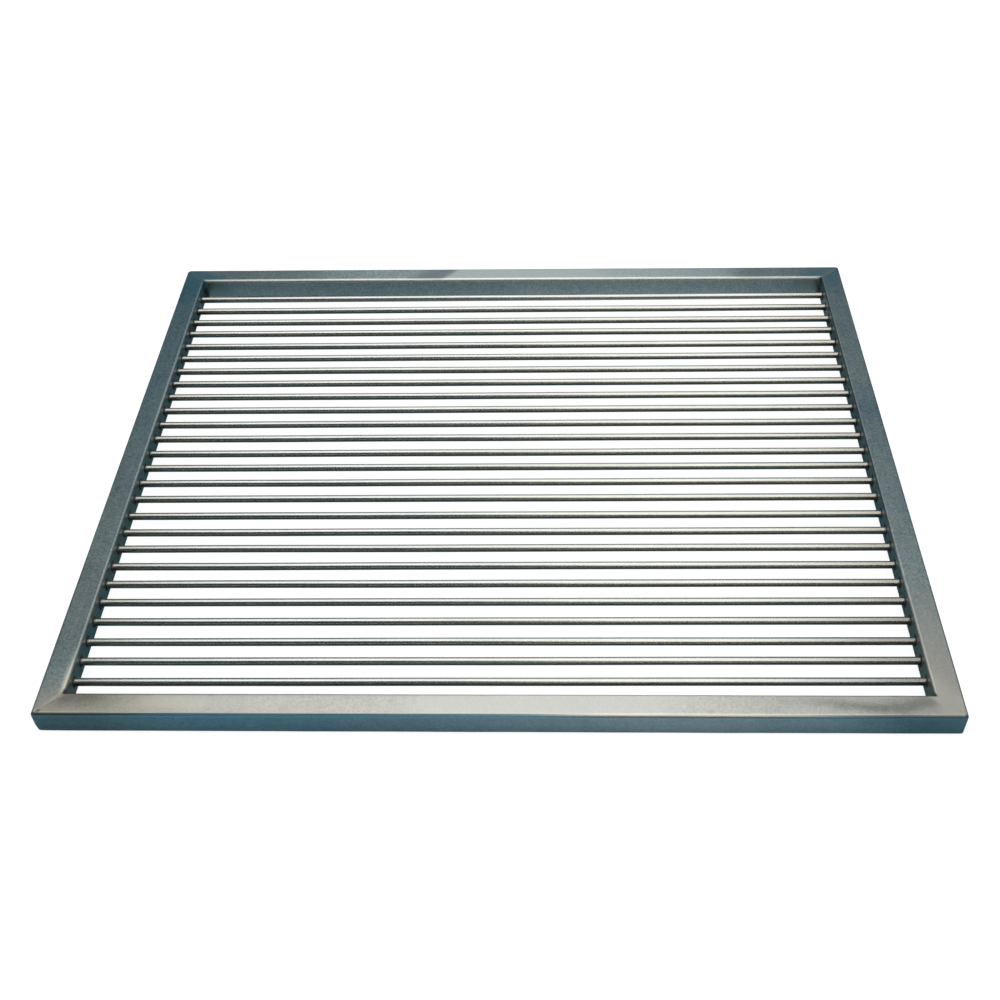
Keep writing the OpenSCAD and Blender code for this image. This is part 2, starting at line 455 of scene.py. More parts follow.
class Tree:
    """Short names for building a material's nodes."""

    def __init__(self, name):
        self.mat = bpy.data.materials.new(name)
        self.mat.use_nodes = True
        self.nt = self.mat.node_tree
        self.nt.nodes.clear()
        self.out = self.nt.nodes.new("ShaderNodeOutputMaterial")
        self.bsdf = self.nt.nodes.new("ShaderNodeBsdfPrincipled")
        self.nt.links.new(self.bsdf.outputs[0], self.out.inputs["Surface"])

    def put(self, socket, value):
        if isinstance(value, bpy.types.NodeSocket):
            self.nt.links.new(value, socket)
        else:
            socket.default_value = value

    def math(self, op, a, b=None, c=None, clamp=False):
        n = self.nt.nodes.new("ShaderNodeMath")
        n.operation, n.use_clamp = op, clamp
        for s, v in zip(n.inputs, (a, b, c)):
            if v is not None:
                self.put(s, v)
        return n.outputs[0]

    def add(self, a, b): return self.math("ADD", a, b)
    def sub(self, a, b): return self.math("SUBTRACT", a, b)
    def mul(self, a, b): return self.math("MULTIPLY", a, b)
    def abs(self, a): return self.math("ABSOLUTE", a)

    def step(self, x, a, b):
        """0 below a, 1 above b, smooth between. a above b turns it round."""
        n = self.nt.nodes.new("ShaderNodeMapRange")
        n.interpolation_type = "SMOOTHSTEP"
        n.clamp = True
        self.put(n.inputs["Value"], x)
        if a <= b:
            n.inputs["From Min"].default_value, n.inputs["From Max"].default_value = a, b
            n.inputs["To Min"].default_value, n.inputs["To Max"].default_value = 0.0, 1.0
        else:
            n.inputs["From Min"].default_value, n.inputs["From Max"].default_value = b, a
            n.inputs["To Min"].default_value, n.inputs["To Max"].default_value = 1.0, 0.0
        return n.outputs["Result"]

    def coords(self):
        n = self.nt.nodes.new("ShaderNodeTexCoord")
        return n.outputs["Object"]

    def split(self, v):
        n = self.nt.nodes.new("ShaderNodeSeparateXYZ")
        self.put(n.inputs[0], v)
        return n.outputs

    def join(self, x, y, z):
        n = self.nt.nodes.new("ShaderNodeCombineXYZ")
        for s, v in zip(n.inputs, (x, y, z)):
            self.put(s, v)
        return n.outputs[0]

    def scaled(self, v, scale, shift=(0, 0, 0)):
        n = self.nt.nodes.new("ShaderNodeMapping")
        n.vector_type = "POINT"
        self.put(n.inputs["Vector"], v)
        n.inputs["Scale"].default_value = scale
        n.inputs["Location"].default_value = shift
        return n.outputs[0]

    def noise(self, v, scale, detail=2.0, rough=0.5, bend=0.0):
        n = self.nt.nodes.new("ShaderNodeTexNoise")
        n.noise_dimensions = "3D"
        self.put(n.inputs["Vector"], v)
        n.inputs["Scale"].default_value = scale
        n.inputs["Detail"].default_value = detail
        n.inputs["Roughness"].default_value = rough
        n.inputs["Distortion"].default_value = bend
        return n.outputs["Fac"]

    def mix(self, fac, a, b, blend="MIX"):
        n = self.nt.nodes.new("ShaderNodeMix")
        n.data_type, n.blend_type, n.clamp_factor = "RGBA", blend, True
        for s, v in zip((n.inputs[0], n.inputs[6], n.inputs[7]), (fac, a, b)):
            self.put(s, v if isinstance(v, (bpy.types.NodeSocket, float, int)) else (*v, 1.0))
        return n.outputs[2]

    def ramp(self, fac, stops):
        n = self.nt.nodes.new("ShaderNodeValToRGB")
        self.put(n.inputs[0], fac)
        e = n.color_ramp.elements
        while len(e) < len(stops):
            e.new(0.5)
        for el, (p, c) in zip(e, stops):
            el.position = p
            el.color = (*c, 1.0) if isinstance(c, tuple) else (c, c, c, 1.0)
        return n.outputs[0]

    def attribute(self, name):
        n = self.nt.nodes.new("ShaderNodeAttribute")
        n.attribute_name = name
        return n.outputs["Fac"]

    def bump(self, height, strength, distance, normal=None):
        n = self.nt.nodes.new("ShaderNodeBump")
        n.inputs["Strength"].default_value = strength
        n.inputs["Distance"].default_value = distance
        self.put(n.inputs["Height"], height)
        if normal is not None:
            self.put(n.inputs["Normal"], normal)
        return n.outputs[0]


def mitre_distance(t, x, y):
    """How far a point is from the nearest mitre, in metres, and how far in from the side and end faces."""
    in_x = t.sub(W / 2, t.abs(x))
    in_y = t.sub(D / 2, t.abs(y))
    return t.mul(t.abs(t.sub(in_x, in_y)), 1 / math.sqrt(2)), in_x, in_y


def frame_steel(name, axis, rail=None):
    """Satin tube steel, drawn along the given axis, ground in swirls at the corners, with heat tint beside the welds,
    and with painted light and shade in places.
    """
    t = Tree(name)
    p = t.coords()
    x, y, z = t.split(p)
    dist, in_x, in_y = mitre_distance(t, x, y)
    blotch = t.noise(p, 30.0, 4.0, 0.55, 0.4)
    cloud = t.noise(t.scaled(p, (1, 1, 1), (3.7, 1.9, 0.3)), 110.0, 3.0, 0.6)
    speck = t.noise(p, 760.0, 1.0, 0.5)
    patch = t.noise(t.scaled(p, (1, 1, 1), (0.9, 4.1, 2.2)), 260.0, 3.0, 0.6)
    stretch = (11.0, 700.0, 700.0) if axis == "X" else (700.0, 11.0, 700.0)
    fine = (60.0, 3300.0, 3300.0) if axis == "X" else (3300.0, 60.0, 3300.0)
    streak = t.noise(t.scaled(p, stretch), 1.0, 3.0, 0.55)
    grain = t.noise(t.scaled(p, fine), 1.0, 2.0, 0.5)
    upper = t.step(z, H - 0.9 * MM, H - 0.3 * MM)
    front = t.step(y, 1 * MM, -1 * MM)
    front_left = t.mul(front, t.step(x, 1 * MM, -1 * MM))
    # the ground corner: arcs of the grinding disc round a point near the inside corner
    cx = t.sub(in_x, T + 3 * MM)
    cy = t.sub(in_y, T * 0.35)
    radius = t.math("SQRT", t.add(t.mul(cx, cx), t.mul(cy, cy)))
    rough_radius = t.add(radius, t.mul(t.sub(cloud, 0.5), 1.2 * MM))
    arcs = t.noise(t.join(t.mul(rough_radius, 950.0), t.mul(t.math("ARCTAN2", cy, cx), 1.6), 0.0), 1.0, 2.0, 0.6)
    ground = t.step(t.add(dist, t.mul(t.sub(blotch, 0.5), 14 * MM)), 17 * MM, 4 * MM)
    # heat tint beside the front mitres, away from the outer edge, and a near-black inside corner
    wander = t.add(in_x, t.mul(t.sub(blotch, 0.5), 14 * MM))
    soft = t.mul(t.sub(cloud, 0.5), 3 * MM)
    middle = t.add(6.3 * MM, t.add(t.mul(t.step(in_x, 44 * MM, 100 * MM), 5.7 * MM), t.mul(t.step(in_x, 34 * MM, 20 * MM), 4.0 * MM)))
    across = t.mul(t.sub(t.add(in_y, soft), middle), t.sub(1 / (3.3 * MM), t.mul(t.step(in_x, 52 * MM, 30 * MM), 1 / (7.6 * MM))))
    streaky = t.math("EXPONENT", t.mul(t.mul(across, across), -1.0))
    right_tint = t.mul(streaky, t.mul(t.step(wander, 8 * MM, 18 * MM), t.step(wander, 114 * MM, 40 * MM)))
    right_tint = t.mul(right_tint, t.step(t.sub(in_x, in_y), 2.2 * MM, 6.5 * MM))
    # and at the front left: a patch that is darkest by the opening
    left_tint = t.mul(t.step(wander, 4 * MM, 16 * MM), t.step(wander, 52 * MM, 25 * MM))
    left_tint = t.mul(left_tint, t.add(0.30, t.mul(t.step(t.add(in_y, soft), 2.5 * MM, 12 * MM), 0.70)))
    left_tint = t.mul(left_tint, t.step(t.sub(in_x, in_y), 0.5 * MM, 4 * MM))
    tint = t.math("MULTIPLY_ADD", left_tint, front_left, t.mul(right_tint, t.sub(front, front_left)))
    tint = t.mul(tint, t.step(z, H - 1.5 * MM, H - 0.8 * MM))
    if axis == "Y":
        tint = t.mul(tint, 0.0)
    inside = t.mul(t.step(in_x, T - 1.6 * MM, T - 0.5 * MM), t.step(in_y, T - 1.6 * MM, T - 0.5 * MM))
    nook = t.math("MAXIMUM", t.sub(in_x, T), t.sub(in_y, T))
    nook = t.add(nook, t.mul(t.sub(cloud, 0.5), 6 * MM))
    scale = t.mul(inside, t.step(nook, 3.4 * MM, 0.2 * MM))
    brown = t.mul(inside, t.step(nook, 20 * MM, 4 * MM) if rail == "rear" else t.step(nook, 12 * MM, 2 * MM))
    # the steel itself: grey, mottled, with a fine sandy grain and pale lines along the tube
    # each rail has its own tone, as painted light and shade on one steel: the left rail darkest, the right rail a
    # little lighter, the rear rail lighter still, all bluish, and the front rail lightest and warm
    if rail == "front":
        dark, light = (0.482, 0.466, 0.436), (0.532, 0.510, 0.474)
    elif rail is None:
        dark, light = (0.442, 0.450, 0.445), (0.492, 0.488, 0.476)
    elif rail == "left":
        dark, light = (0.300, 0.345, 0.358), (0.344, 0.372, 0.378)
    elif rail == "right":
        dark, light = (0.332, 0.380, 0.394), (0.381, 0.411, 0.416)
    else:
        dark, light = (0.405, 0.462, 0.480), (0.465, 0.500, 0.507)
    base = t.mix(t.step(blotch, 0.32, 0.68), dark, light)
    base = t.mix(t.mul(t.step(cloud, 0.46, 0.78), 0.32), base, (0.395, 0.410, 0.410))
    base = t.mix(t.mul(t.step(streak, 0.45, 0.80), 0.25), base, (0.59, 0.592, 0.58))
    grit = 0.45 if rail == "front" else 1.0
    base = t.mix(1.0, base, t.add(1.0, t.mul(t.sub(speck, 0.5), 1.10 * grit)), "MULTIPLY")
    base = t.mix(1.0, base, t.add(1.0, t.mul(t.sub(patch, 0.5), 0.45 * grit)), "MULTIPLY")
    if rail != "front":
        base = t.mix(t.mul(t.step(patch, 0.50, 0.36), 0.30), base, t.mix(1.0, base, (0.86, 1.0, 1.10), "MULTIPLY"))
    if rail == "front":
        # painted highlight: lighter in the middle of the top
        along = t.add(x, t.mul(t.sub(cloud, 0.5), 30 * MM))
        painted_highlight_middle = t.mul(t.mul(t.step(along, -62 * MM, -34 * MM), t.step(along, 118 * MM, 82 * MM)), upper)
        base = t.mix(t.mul(painted_highlight_middle, 0.60), base, (0.600, 0.588, 0.562))
        # and a painted light: a lighter patch on the top towards the left end
        painted_light_left = t.mul(t.mul(t.step(along, -200 * MM, -180 * MM), t.step(along, -95 * MM, -128 * MM)), upper)
        painted_light_left = t.mul(painted_light_left, t.add(0.30, t.mul(t.step(in_y, 1 * MM, 8 * MM), 0.70)))
        painted_light_left = t.mul(painted_light_left, t.add(0.26, t.mul(t.step(along, -146 * MM, -168 * MM), 0.34)))
        base = t.mix(painted_light_left, base, (0.700, 0.665, 0.605))
    if rail == "left":
        # painted shade: darker towards the front
        painted_shade_front = t.mul(t.mul(t.step(y, -190 * MM, -165 * MM), t.step(y, -85 * MM, -115 * MM)), upper)
        base = t.mix(t.mul(painted_shade_front, 0.30), base, (0.150, 0.170, 0.180))
        # and painted shade: darker and bluer towards the rear
        base = t.mix(t.step(y, -40 * MM, 40 * MM), base, t.mix(1.0, base, (0.84, 0.945, 0.98), "MULTIPLY"))
        base = t.mix(t.step(y, 130 * MM, 200 * MM), base, t.mix(1.0, base, (0.50, 0.79, 0.85), "MULTIPLY"))
    if rail == "right":
        # painted warm light: warmer towards the front
        base = t.mix(t.mul(t.step(t.add(y, t.mul(t.sub(blotch, 0.5), 60 * MM)), -100 * MM, -185 * MM), 0.75), base, (0.540, 0.470, 0.420))
        # a darker, bluer blotch past the middle, and painted shade towards the rear end
        spot = t.mul(t.sub(t.add(y, t.mul(t.sub(cloud, 0.5), 20 * MM)), 42 * MM), 1 / (17 * MM))
        spot = t.math("EXPONENT", t.mul(t.mul(spot, spot), -1.0))
        base = t.mix(t.mul(spot, 0.85), base, t.mix(1.0, base, (0.66, 0.76, 0.88), "MULTIPLY"))
        base = t.mix(t.step(y, 165 * MM, 200 * MM), base, t.mix(1.0, base, (0.82, 0.88, 0.90), "MULTIPLY"))
    if rail == "rear":
        # the middle of the rear rail's top is lighter, up to a slanting edge, with a darker strip beside it; towards
        # both ends, and in a dip near the right end, the top is painted darker as painted shade
        slant = t.add(x, t.add(t.mul(t.sub(in_y, 7 * MM), 0.9), t.mul(t.sub(cloud, 0.5), 5 * MM)))
        zone = t.mul(t.mul(t.step(slant, -50 * MM, -42 * MM), t.step(x, 178 * MM, 160 * MM)), upper)
        zone = t.mul(zone, t.add(0.45, t.mul(t.step(t.add(x, t.mul(t.sub(cloud, 0.5), 30 * MM)), 88 * MM, 48 * MM), 0.40)))
        dull = t.mul(t.mul(t.step(slant, -82 * MM, -60 * MM), t.step(slant, -42 * MM, -50 * MM)), upper)
        reach = t.math("MAXIMUM", x, t.sub(22 * MM, x))
        ends = t.mul(t.step(t.add(reach, t.mul(t.sub(cloud, 0.5), 24 * MM)), 150 * MM, 188 * MM), upper)
        shade_dip = t.mul(t.mul(t.step(x, 166 * MM, 178 * MM), t.step(x, 202 * MM, 188 * MM)), upper)
        base = t.mix(t.mul(ends, 0.35), base, (0.200, 0.235, 0.250))
        base = t.mix(t.mul(shade_dip, 0.30), base, (0.200, 0.235, 0.250))
        base = t.mix(zone, base, (0.645, 0.660, 0.652))
        base = t.mix(t.mul(dull, 0.85), base, (0.245, 0.285, 0.305))
    base = t.mix(t.mul(t.mul(ground, t.sub(front, t.mul(front_left, 0.85))), 0.75), base, (0.600, 0.545, 0.488))
    # the ground rear corners painted darker and bluer: painted shade
    rear_corner_shade = t.mul(t.mul(ground, t.sub(1.0, front)), t.add(0.50, t.mul(t.step(x, 1 * MM, -1 * MM), 0.35)))
    base = t.mix(rear_corner_shade, base, (0.165, 0.305, 0.375))
    base = t.mix(t.mul(t.mul(t.mul(ground, t.step(arcs, 0.52, 0.68)), t.sub(front, front_left)), 0.16), base, (0.70, 0.675, 0.63))
    base = t.mix(tint, base, t.mix(1.0, base, (0.565, 0.560, 0.550), "MULTIPLY"))
    # the front left corner: a pale band along the seam, partly weld colour and partly a painted highlight, a pale lip
    # along the opening and a rosy patch by the tip
    over = t.mul(t.step(z, H - 2.0 * MM, H - 1.2 * MM), front_left)
    ragged = t.mul(t.sub(cloud, 0.5), 5 * MM)
    signed = t.mul(t.sub(in_x, in_y), 1 / math.sqrt(2))
    seam = t.mul(t.step(t.add(signed, t.mul(ragged, 0.3)), -3.0 * MM, -0.9 * MM), t.step(signed, 1.2 * MM, 0.5 * MM))
    seam = t.mul(seam, t.step(t.add(in_x, ragged), 2 * MM, 6 * MM))
    base = t.mix(t.mul(t.mul(seam, over), 0.62), base, (0.66, 0.615, 0.550))
    # a dark line beside the seam: painted shade
    crease_shade = t.mul(t.sub(signed, 1.15 * MM), 1 / (0.38 * MM))
    crease_shade = t.mul(t.math("EXPONENT", t.mul(t.mul(crease_shade, crease_shade), -1.0)), t.step(t.add(in_y, ragged), 3.5 * MM, 7 * MM))
    base = t.mix(t.mul(t.mul(crease_shade, over), 0.45), base, (0.20, 0.19, 0.175))
    if rail == "left":
        pale_end = t.mul(t.step(t.add(in_y, ragged), 24 * MM, 8 * MM), over)
        base = t.mix(t.mul(pale_end, 0.42), base, (0.60, 0.565, 0.525))
        # a painted highlight along the ground slope of the inner edge
        lip_highlight = t.mul(t.step(t.add(in_x, t.mul(ragged, 0.5)), T - 4.2 * MM, T - 1.4 * MM), t.step(in_y, 56 * MM, 20 * MM))
        base = t.mix(t.mul(t.mul(lip_highlight, over), 0.80), base, (0.72, 0.670, 0.600))
    tip = t.mul(t.step(t.add(in_y, t.mul(ragged, 0.7)), 6.5 * MM, 2.5 * MM), t.step(in_x, 42 * MM, 12 * MM))
    base = t.mix(t.mul(t.mul(tip, over), 0.60), base, (0.66, 0.560, 0.490))
    warm = t.mul(t.mul(t.step(in_x, 90 * MM, 55 * MM), t.step(in_y, 34 * MM, 12 * MM)), front_left)
    base = t.mix(warm, base, t.mix(1.0, base, (1.0, 0.945, 0.880), "MULTIPLY"))
    px, py = t.mul(t.sub(in_x, 3.8 * MM), 1 / (0.9 * MM)), t.mul(t.sub(in_y, 2.6 * MM), 1 / (1.3 * MM))
    pit = t.math("EXPONENT", t.mul(t.add(t.mul(px, px), t.mul(py, py)), -1.0))
    base = t.mix(t.mul(t.mul(pit, front_left), 0.75), base, (0.17, 0.105, 0.085))
    edge = t.attribute("edge")
    # rounded edges lighter: partly wear, partly a painted highlight
    wear_and_highlight = t.mul(edge, t.step(streak, 0.25, 0.65))
    if rail == "rear":
        wear_and_highlight = t.mul(wear_and_highlight, t.add(0.30, t.mul(t.step(t.abs(x), 238 * MM, 222 * MM), 0.70)))
    elif axis == "X":
        wear_and_highlight = t.mul(wear_and_highlight, t.add(0.30, t.mul(t.step(t.abs(x), 232 * MM, 165 * MM), 0.70)))
    base = t.mix(t.mul(wear_and_highlight, {"left": 0.90, "right": 0.0, "rear": 0.80}.get(rail, 0.50)), base, (0.66, 0.650, 0.625))
    if rail == "right":
        # the right rail's inner edge: a painted highlight towards the front, painted shade further back
        edge_highlight = t.mul(t.mul(edge, t.step(in_x, T - 3 * MM, T - 1.5 * MM)), t.step(y, -70 * MM, -105 * MM))
        base = t.mix(t.mul(edge_highlight, 0.70), base, (0.70, 0.675, 0.630))
        edge_shade = t.mul(t.mul(edge, t.step(in_x, T - 3 * MM, T - 1.5 * MM)), t.step(y, -105 * MM, -50 * MM))
        base = t.mix(t.mul(edge_shade, 0.92), base, (0.080, 0.095, 0.105))
    if axis == "X" and rail != "rear":
        # painted shade along the front rail's upper outer edge, with a painted blue reflection just under it, left off
        # between about 70 and 130 mm
        far_end = t.math("MAXIMUM", t.step(x, -170 * MM, -235 * MM), t.step(x, 130 * MM, 215 * MM))
        arris_shade = t.step(t.sub(in_y, t.mul(far_end, 0.12 * MM)), 1.90 * MM, 1.15 * MM)
        reach = t.mul(t.math("MAXIMUM", t.step(x, 70 * MM, 10 * MM), t.step(x, 130 * MM, 215 * MM)), front)
        arris_reflection = t.mul(t.mul(t.step(in_y, 1.4 * MM, 0.9 * MM), reach), t.mul(t.step(z, H - 0.15 * MM, H - 0.55 * MM), t.step(z, H - 2.1 * MM, H - 1.2 * MM)))
        arris_reflection = t.mul(arris_reflection, t.sub(1.0, t.mul(far_end, 0.55)))
        base = t.mix(t.mul(arris_reflection, 0.80), base, (0.380, 0.760, 0.920))
        arris_shade = t.mul(t.mul(arris_shade, reach), t.step(t.add(z, t.mul(far_end, 0.60 * MM)), H - 0.60 * MM, H - 0.20 * MM))
        base = t.mix(t.mul(arris_shade, t.sub(0.95, t.mul(far_end, 0.15))), base, (0.052, 0.112, 0.140))
    base = t.mix(t.mul(brown, 0.30), base, (0.80, 0.65, 0.43) if rail == "rear" else (0.20, 0.175, 0.140))
    base = t.mix(t.mul(scale, 0.90), base, (0.034, 0.028, 0.024))
    burnt_and_shade = 0.0
    if rail in ("left", "right"):
        # heat marks on the inner wall around the bars, darkened as painted shade where the bars go in
        turn = t.math("FRACT", t.add(t.mul(t.sub(y, BAR_Y[0] + 0.3 * MM + (SKEW if rail == "right" else -SKEW)), 1 / PITCH), 0.5))
        dy = t.mul(t.sub(turn, 0.5), PITCH)
        dz = t.sub(z, BAR_Z)
        ring = t.math("SQRT", t.add(t.mul(dy, dy), t.mul(dz, dz)))
        ring = t.add(ring, t.mul(t.sub(cloud, 0.5), 2.4 * MM))
        wall = t.step(in_x, T - 1.4 * MM, T - 0.4 * MM)
        burnt_and_shade = t.mul(wall, t.step(ring, 4.5 * MM, 2.6 * MM))
        base = t.mix(t.mul(burnt_and_shade, 0.82), base, (0.045, 0.045, 0.045))
    t.put(t.bsdf.inputs["Base Color"], base)
    t.bsdf.inputs["Metallic"].default_value = 1.0
    rough = t.add(0.275, t.mul(blotch, 0.06))
    rough = t.add(rough, t.mul(t.sub(streak, 0.5), 0.06))
    rough = t.add(rough, t.mul(t.sub(speck, 0.5), 0.06))
    rough = t.add(rough, t.mul(tint, 0.04))
    rough = t.add(rough, t.mul(t.math("MAXIMUM", scale, burnt_and_shade), 0.25))
    rough = t.add(rough, t.mul(edge, 0.10))
    if rail in ("left", "right"):
        rough = t.add(rough, t.mul(wall, 0.14))
    t.put(t.bsdf.inputs["Roughness"], t.math("MINIMUM", t.math("MAXIMUM", rough, 0.28), 0.65))
    t.bsdf.inputs["Anisotropic"].default_value = 0.2
    t.bsdf.inputs["Anisotropic Rotation"].default_value = 0.25
    t.put(t.bsdf.inputs["Tangent"], t.join(*((1.0, 0.0, 0.0) if axis == "X" else (0.0, 1.0, 0.0))))
    keep = t.sub(1.0, t.mul(ground, 0.7))
    height = t.mul(t.add(t.mul(grain, 0.5), t.mul(streak, 0.3)), keep)
    height = t.add(height, t.mul(t.mul(arcs, ground), 0.35))
    height = t.add(height, t.mul(speck, 0.20))
    t.put(t.bsdf.inputs["Normal"], t.bump(height, 0.20, 0.02 * MM))
    return t.mat


def bar_steel(name):
    """Bright drawn bar, with fine lines along it and a straw to brown heat tint where it enters the rails; near the
    rails, most on its underside, and on the front right bars it is painted darker as painted shade.
    """
    t = Tree(name)
    p = t.coords()
    x, y, z = t.split(p)
    streak = t.noise(t.scaled(p, (8.0, 1100.0, 1100.0)), 1.0, 3.0, 0.55)
    grain = t.noise(t.scaled(p, (70.0, 4600.0, 4600.0)), 1.0, 2.0, 0.5)
    blotch = t.noise(t.scaled(p, (24.0, 60.0, 60.0)), 1.0, 4.0, 0.6)
    speck = t.noise(p, 1700.0, 2.0, 0.6)
    base = t.mix(t.step(blotch, 0.3, 0.7), (0.545, 0.545, 0.530), (0.615, 0.610, 0.590))
    base = t.mix(t.mul(t.step(streak, 0.45, 0.8), 0.35), base, (0.455, 0.457, 0.450))
    base = t.mix(t.mul(t.step(speck, 0.5, 0.75), 0.25), base, (0.430, 0.427, 0.415))
    inside = t.sub(INNER_X, t.abs(x))
    wander = t.add(inside, t.mul(t.sub(blotch, 0.5), 6 * MM))
    straw = t.step(wander, 46 * MM, 8 * MM)
    # painted shade: darker near the rails
    shade_near_rail = t.step(wander, 18 * MM, 3 * MM)
    # the last millimetre by the rail: weld scale, with painted shade
    burnt_and_shade = t.step(t.add(inside, t.mul(t.sub(blotch, 0.5), 1 * MM)), 1.2 * MM, 0.2 * MM)
    base = t.mix(t.mul(straw, 0.34), base, (0.46, 0.407, 0.330))
    # painted shade: the front right bars darker
    corner = t.mul(t.step(x, 125 * MM, 215 * MM), t.step(y, -95 * MM, -150 * MM))
    base = t.mix(corner, base, t.mix(1.0, base, (0.76, 0.765, 0.79), "MULTIPLY"))
    # painted shade on the underside near the rails
    underside_shade = t.mul(t.step(wander, 26 * MM, 4 * MM), t.step(z, BAR_Z + 1.4 * MM, BAR_Z + 0.1 * MM))
    base = t.mix(t.mul(shade_near_rail, 0.10), base, (0.315, 0.280, 0.235))
    base = t.mix(t.mul(underside_shade, 0.74), base, (0.130, 0.138, 0.140))
    base = t.mix(t.mul(burnt_and_shade, 0.60), base, (0.14, 0.125, 0.110))
    t.put(t.bsdf.inputs["Base Color"], base)
    t.bsdf.inputs["Metallic"].default_value = 1.0
    rough = t.add(0.215, t.mul(blotch, 0.06))
    rough = t.add(rough, t.mul(t.sub(streak, 0.5), 0.12))
    rough = t.add(rough, t.mul(t.sub(speck, 0.5), 0.08))
    rough = t.add(rough, t.mul(burnt_and_shade, 0.20))
    t.put(t.bsdf.inputs["Roughness"], t.math("MINIMUM", t.math("MAXIMUM", rough, 0.14), 0.65))
    t.bsdf.inputs["Anisotropic"].default_value = 0.25
    t.bsdf.inputs["Anisotropic Rotation"].default_value = 0.25
    t.put(t.bsdf.inputs["Tangent"], t.join(1.0, 0.0, 0.0))
    height = t.add(t.add(t.mul(grain, 0.5), t.mul(streak, 0.5)), t.mul(speck, 0.35))
    t.put(t.bsdf.inputs["Normal"], t.bump(height, 0.25, 0.015 * MM))
    return t.mat


def burnt_weld(name):
    """Weld metal as it was laid: dull, scaled, brown to blue-black."""
    t = Tree(name)
    p = t.coords()
    scale = t.noise(p, 900.0, 3.0, 0.6)
    hue = t.noise(p, 260.0, 2.0, 0.5)
    colour = t.ramp(hue, [(0.25, (0.070, 0.072, 0.075)), (0.45, (0.100, 0.092, 0.084)), (0.6, (0.130, 0.116, 0.100)), (0.8, (0.090, 0.100, 0.110))])
    colour = t.mix(t.mul(t.step(scale, 0.5, 0.75), 0.45), colour, (0.19, 0.18, 0.165))
    t.put(t.bsdf.inputs["Base Color"], colour)
    t.bsdf.inputs["Metallic"].default_value = 1.0
    t.put(t.bsdf.inputs["Roughness"], t.add(0.38, t.mul(scale, 0.25)))
    t.put(t.bsdf.inputs["Normal"], t.bump(scale, 0.4, 0.05 * MM))
    return t.mat


BAR = bar_steel("bar_steel")
BURNT = burnt_weld("burnt_weld")
WELD = frame_steel("weld_steel", "X")

# ---------------------------------------------------------------- the pieces

made = []
for side, axis in (("front", "X"), ("rear", "X"), ("left", "Y"), ("right", "Y")):
    node = side + "_rail"
    steel = frame_steel("tube_steel_" + side, axis, rail=side)
    made.append((build_rail(node + "_tube", side, steel, axis == "Y"), node, "rail_steel"))
for node, sx, sy, ridge, notch, steel in (
    ("mitre_weld_front_left", -1, -1, 0.0, 0.06 * MM, WELD),
    ("mitre_weld_front_right", 1, -1, 0.006 * MM, 0.0, WELD),
    ("mitre_weld_rear_left", -1, 1, 0.006 * MM, 0.0, WELD),
    ("mitre_weld_rear_right", 1, 1, 0.006 * MM, 0.0, WELD),
):
    made.append((build_mitre_weld(node + "_bead", sx, sy, steel, ridge, notch), node, "mitre_weld_steel"))
for number, (node, y) in enumerate(zip(BARS, SET_Y)):
    made.append((build_bar(node + "_drawn", number, y, BAR), node, "bar_steel"))
for node, sign in (("bar_end_welds_left", -1), ("bar_end_welds_right", 1)):
    made.append((build_bar_welds(node + "_rings", sign, BURNT), node, "bar_weld_steel"))
for piece, node, slot in made:
    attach(piece, "root")
    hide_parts(node)

# ---------------------------------------------------------------- camera

scene = bpy.context.scene
pitch, yaw, roll = 0.76062, -0.03711, 0.02678
forward = Vector((math.sin(yaw) * math.cos(pitch), math.cos(yaw) * math.cos(pitch), -math.sin(pitch)))
right = Vector((math.cos(yaw), -math.sin(yaw), 0.0))
down = forward.cross(right)
right, down = right * math.cos(roll) + down * math.sin(roll), down * math.cos(roll) - right * math.sin(roll)
camera = bpy.data.objects.new("camera", bpy.data.cameras.new("camera"))
camera.data.sensor_width = 36.0
camera.data.lens = 36.0 * 1290.83 / 1000.0
camera.data.shift_x = -0.01283
camera.data.clip_start, camera.data.clip_end = 0.01, 100.0
camera.matrix_world = Matrix((
    (right.x, -down.x, -forward.x, 0.02805),
    (right.y, -down.y, -forward.y, -0.62941),
    (right.z, -down.z, -forward.z, 0.57097),
    (0, 0, 0, 1),
))
scene.collection.objects.link(camera)
scene.camera = camera

# ---------------------------------------------------------------- floor, backdrop and light

def stage_mesh(name, verts, faces, material):
    mesh = bpy.data.meshes.new(name)
    mesh.from_pydata(verts, [], faces)
    mesh.materials.append(material)
    for f in mesh.polygons:
        f.use_smooth = True
    obj = bpy.data.objects.new(name, mesh)
    scene.collection.objects.link(obj)
    return obj


def cove():
    """A round pale floor that curves up into a wall and a dome."""
    profile = [(0.0, 0.0), (1.5, 0.0), (5.0, 0.0), (8.0, 0.0)]
    profile += [(8.0 + 2.0 * math.sin(a), 2.0 - 2.0 * math.cos(a)) for a in (math.radians(d) for d in range(10, 91, 10))]
    profile += [(10.0 * math.cos(a), 2.0 + 8.0 * math.sin(a)) for a in (math.radians(d) for d in range(10, 90, 10))]
    n = 64
    verts, faces = [(0, 0, 0)], []
    for r, z in profile[1:]:
        verts += [(r * math.cos(2 * math.pi * i / n), r * math.sin(2 * math.pi * i / n), z) for i in range(n)]
    for i in range(n):
        faces.append((0, 1 + i, 1 + (i + 1) % n))
    for k in range(len(profile) - 2):
        for i in range(n):
            a, b = 1 + k * n + i, 1 + k * n + (i + 1) % n
            faces.append((a, a + n, b + n, b))
    return verts, faces


